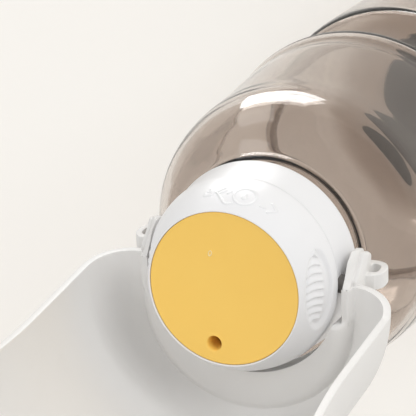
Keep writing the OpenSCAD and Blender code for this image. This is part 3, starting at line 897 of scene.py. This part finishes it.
def add_strap_loop(bm):
    """The strap loop and the web that carries its front to the ear."""
    rings = []
    for corners in (LOOP_FRAME, LOOP_HOLE):
        rings += line_through(bm, [(x, LOOP_LOW, z) for x, z in rounded(corners, 12)])[1]
    thickened(bm, bmesh.ops.bridge_loops(bm, edges=rings)["faces"], LOOP_HIGH - LOOP_LOW)
    web, _ = line_through(bm, [(x, LOOP_LOW + WEB_INSET, z) for x, z in rounded(LOOP_WEB)])
    thickened(bm, [bm.faces.new(web)], LOOP_HIGH - LOOP_LOW - 2 * WEB_INSET)


def join_softly(piece, grain, rounds):
    """Joins the piece's overlapping bodies into one skin, and softens where they meet."""
    join = piece.modifiers.new("join", "REMESH")
    join.mode = "VOXEL"
    join.voxel_size = grain * MM
    bake_modifiers(piece)
    bm = bmesh.new()
    bm.from_mesh(piece.data)
    for _ in range(rounds):
        bmesh.ops.smooth_vert(bm, verts=bm.verts, factor=0.5, use_axis_x=True, use_axis_y=True,
                              use_axis_z=True)
    bm.to_mesh(piece.data)
    bm.free()
    piece.data.shade_smooth()


def make_ear(name, side, material):
    """An ear with its two bands and strap loop, joined and softened as one moulding."""
    bm = bmesh.new()
    loft(bm, [(EAR_X, EAR_INNER), (EAR_X + 1.8, EAR_GROOVE)])
    loft(bm, [(EAR_X + 1.2, drawn_in(BAND_INNER, 0.91)), (EAR_X + 2.8, drawn_in(BAND_INNER, 0.91))])
    loft(bm, [(EAR_X + 2.1, drawn_in(BAND_INNER, 0.96)), (EAR_X + 3.0, BAND_INNER),
              (EAR_X + EAR_T - 0.1, BAND_OUTER)])
    add_strap_loop(bm)
    bmesh.ops.recalc_face_normals(bm, faces=bm.faces)
    if side < 0:
        bmesh.ops.scale(bm, vec=(-1, 1, 1), verts=bm.verts)
        bmesh.ops.reverse_faces(bm, faces=bm.faces)
    piece = finish_piece(bm, name, material, "bowl_body", place=BOWL_PLACE)
    join_softly(piece, 0.16, 5)
    piece.data.materials.clear()
    piece.data.materials.append(material)


# ---------------------------------------------------------------- room and light
def make_floor():
    """A plain pale floor, a little bright in itself so that it stays pale at its far end."""
    finish = Finish("pale_floor", (0.90, 0.872, 0.822), 0.9, Emission_Strength=0.15)
    finish.set("Emission Color", (1.0, 0.97, 0.93))
    finish.set("Roughness", 0.85 + finish.noise(20) * 0.1)
    mesh = bpy.data.meshes.new("floor")
    bm = bmesh.new()
    bmesh.ops.create_grid(bm, x_segments=1, y_segments=1, size=3)
    bmesh.ops.translate(bm, vec=(0, 0, -0.0004), verts=bm.verts)
    bm.to_mesh(mesh)
    bm.free()
    mesh.materials.append(finish.material)
    floor = bpy.data.objects.new("floor", mesh)
    bpy.context.scene.collection.objects.link(floor)


def softbox(name, place, target, width, height, power, roll=0.0, only_gloss=False):
    """A soft rectangular lamp. One for gloss alone lights no matt surface, and any other gives no gloss."""
    lamp = bpy.data.lights.new(name, "AREA")
    lamp.shape = "RECTANGLE"
    lamp.size, lamp.size_y = width, height
    lamp.energy = power
    holder = bpy.data.objects.new(name, lamp)
    aim = (Vector(target) - Vector(place)).to_track_quat("-Z", "Y").to_matrix().to_4x4()
    holder.matrix_world = Matrix.Translation(place) @ aim @ Matrix.Rotation(math.radians(roll), 4, "Z")
    holder.visible_camera = False
    holder.visible_diffuse = not only_gloss
    holder.visible_glossy = only_gloss
    holder.visible_transmission = only_gloss
    bpy.context.scene.collection.objects.link(holder)


def light_studio():
    """Even room light, two large soft lamps, and two small ones that only show as gloss."""
    world = bpy.data.worlds.new("studio")
    bpy.context.scene.world = world
    world.use_nodes = True
    sky = world.node_tree.nodes["Background"]
    sky.inputs["Color"].default_value = (1, 1, 1, 1)
    sky.inputs["Strength"].default_value = 0.64
    softbox("key", (-0.95, -0.9, 0.7), (0, 0, 0.2), 0.7, 0.7, 6.4)
    softbox("fill", (0.6, -0.35, 1.5), (0, 0, 0.2), 0.8, 0.8, 4.6)
    softbox("window", (0.073, -0.150, 0.066), (0.004, -0.040, 0.140), 0.12, 0.09, 0.26, only_gloss=True)
    softbox("side_window", (0.16, -0.22, 0.18), (0.004, -0.040, 0.150), 0.10, 0.14, 0.05, only_gloss=True)


# ---------------------------------------------------------------- the object
make_camera()
white = moulded_white("satin_white", (0.83, 0.83, 0.84), (0.79, 0.79, 0.80), 0.33, 1800)
bowl_white = moulded_white("bowl_white", (0.80, 0.79, 0.775), (0.76, 0.748, 0.73), 0.46, 1500)
inner_white = moulded_white("natural_plastic", (0.72, 0.73, 0.74), (0.68, 0.69, 0.70), 0.42, 1300)
yellow = matt_yellow("matt_yellow")
clear = clear_shell("smoky_clear")
silicone = rubber("soft_silicone", (0.80, 0.80, 0.78), (0.74, 0.74, 0.71), 0.5)
grey_silicone = rubber("grey_silicone", (0.16, 0.145, 0.135), (0.2, 0.19, 0.18), 0.5)
seal = rubber("black_seal", (0.035, 0.035, 0.037), (0.06, 0.06, 0.06), 0.45)
pad = rubber("dark_pad", (0.09, 0.085, 0.08), (0.13, 0.125, 0.12), 0.7, 900)
steel = turned_steel("turned_steel", (1.0, 1.0, 0.05))
pin_steel = turned_steel("drawn_steel", (0.05, 1.0, 1.0))

NODE_FINISH = {
    "bottle": clear, "base_pad": pad, "neck_gasket": silicone,
    "collar": white, "valve_seat": inner_white, "vent_valve": silicone, "click_ring": inner_white,
    "sheet_gasket": silicone, "rotor": inner_white, "hub_seal": seal, "hub_washer": steel, "hub_screw": steel,
    "head_shell": white, "face_disc": yellow, "outlet_tube": inner_white, "outlet_seal": seal,
    "vent_plug": silicone, "bowl": bowl_white, "hinge_pin_l": pin_steel, "hinge_pin_r": pin_steel,
    "hinge_washer_l": grey_silicone, "hinge_washer_r": grey_silicone,
}
for node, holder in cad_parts.items():
    holder.data.materials.clear()
    holder.data.materials.append(NODE_FINISH[node])

make_bottle(clear)
make_neck_thread(clear)
make_base_pad(pad)
make_collar(white)
make_head(white)
make_face_disc(yellow)
make_vent_plug(rubber("pale_soft_plug", (0.93, 0.74, 0.38), (0.88, 0.68, 0.32), 0.5))
make_bowl(bowl_white)
make_ear("ear_with_loop_l", 1, bowl_white)
make_ear("ear_with_loop_r", -1, bowl_white)
make_floor()
light_studio()

bpy.context.scene.view_settings.view_transform = "Standard"
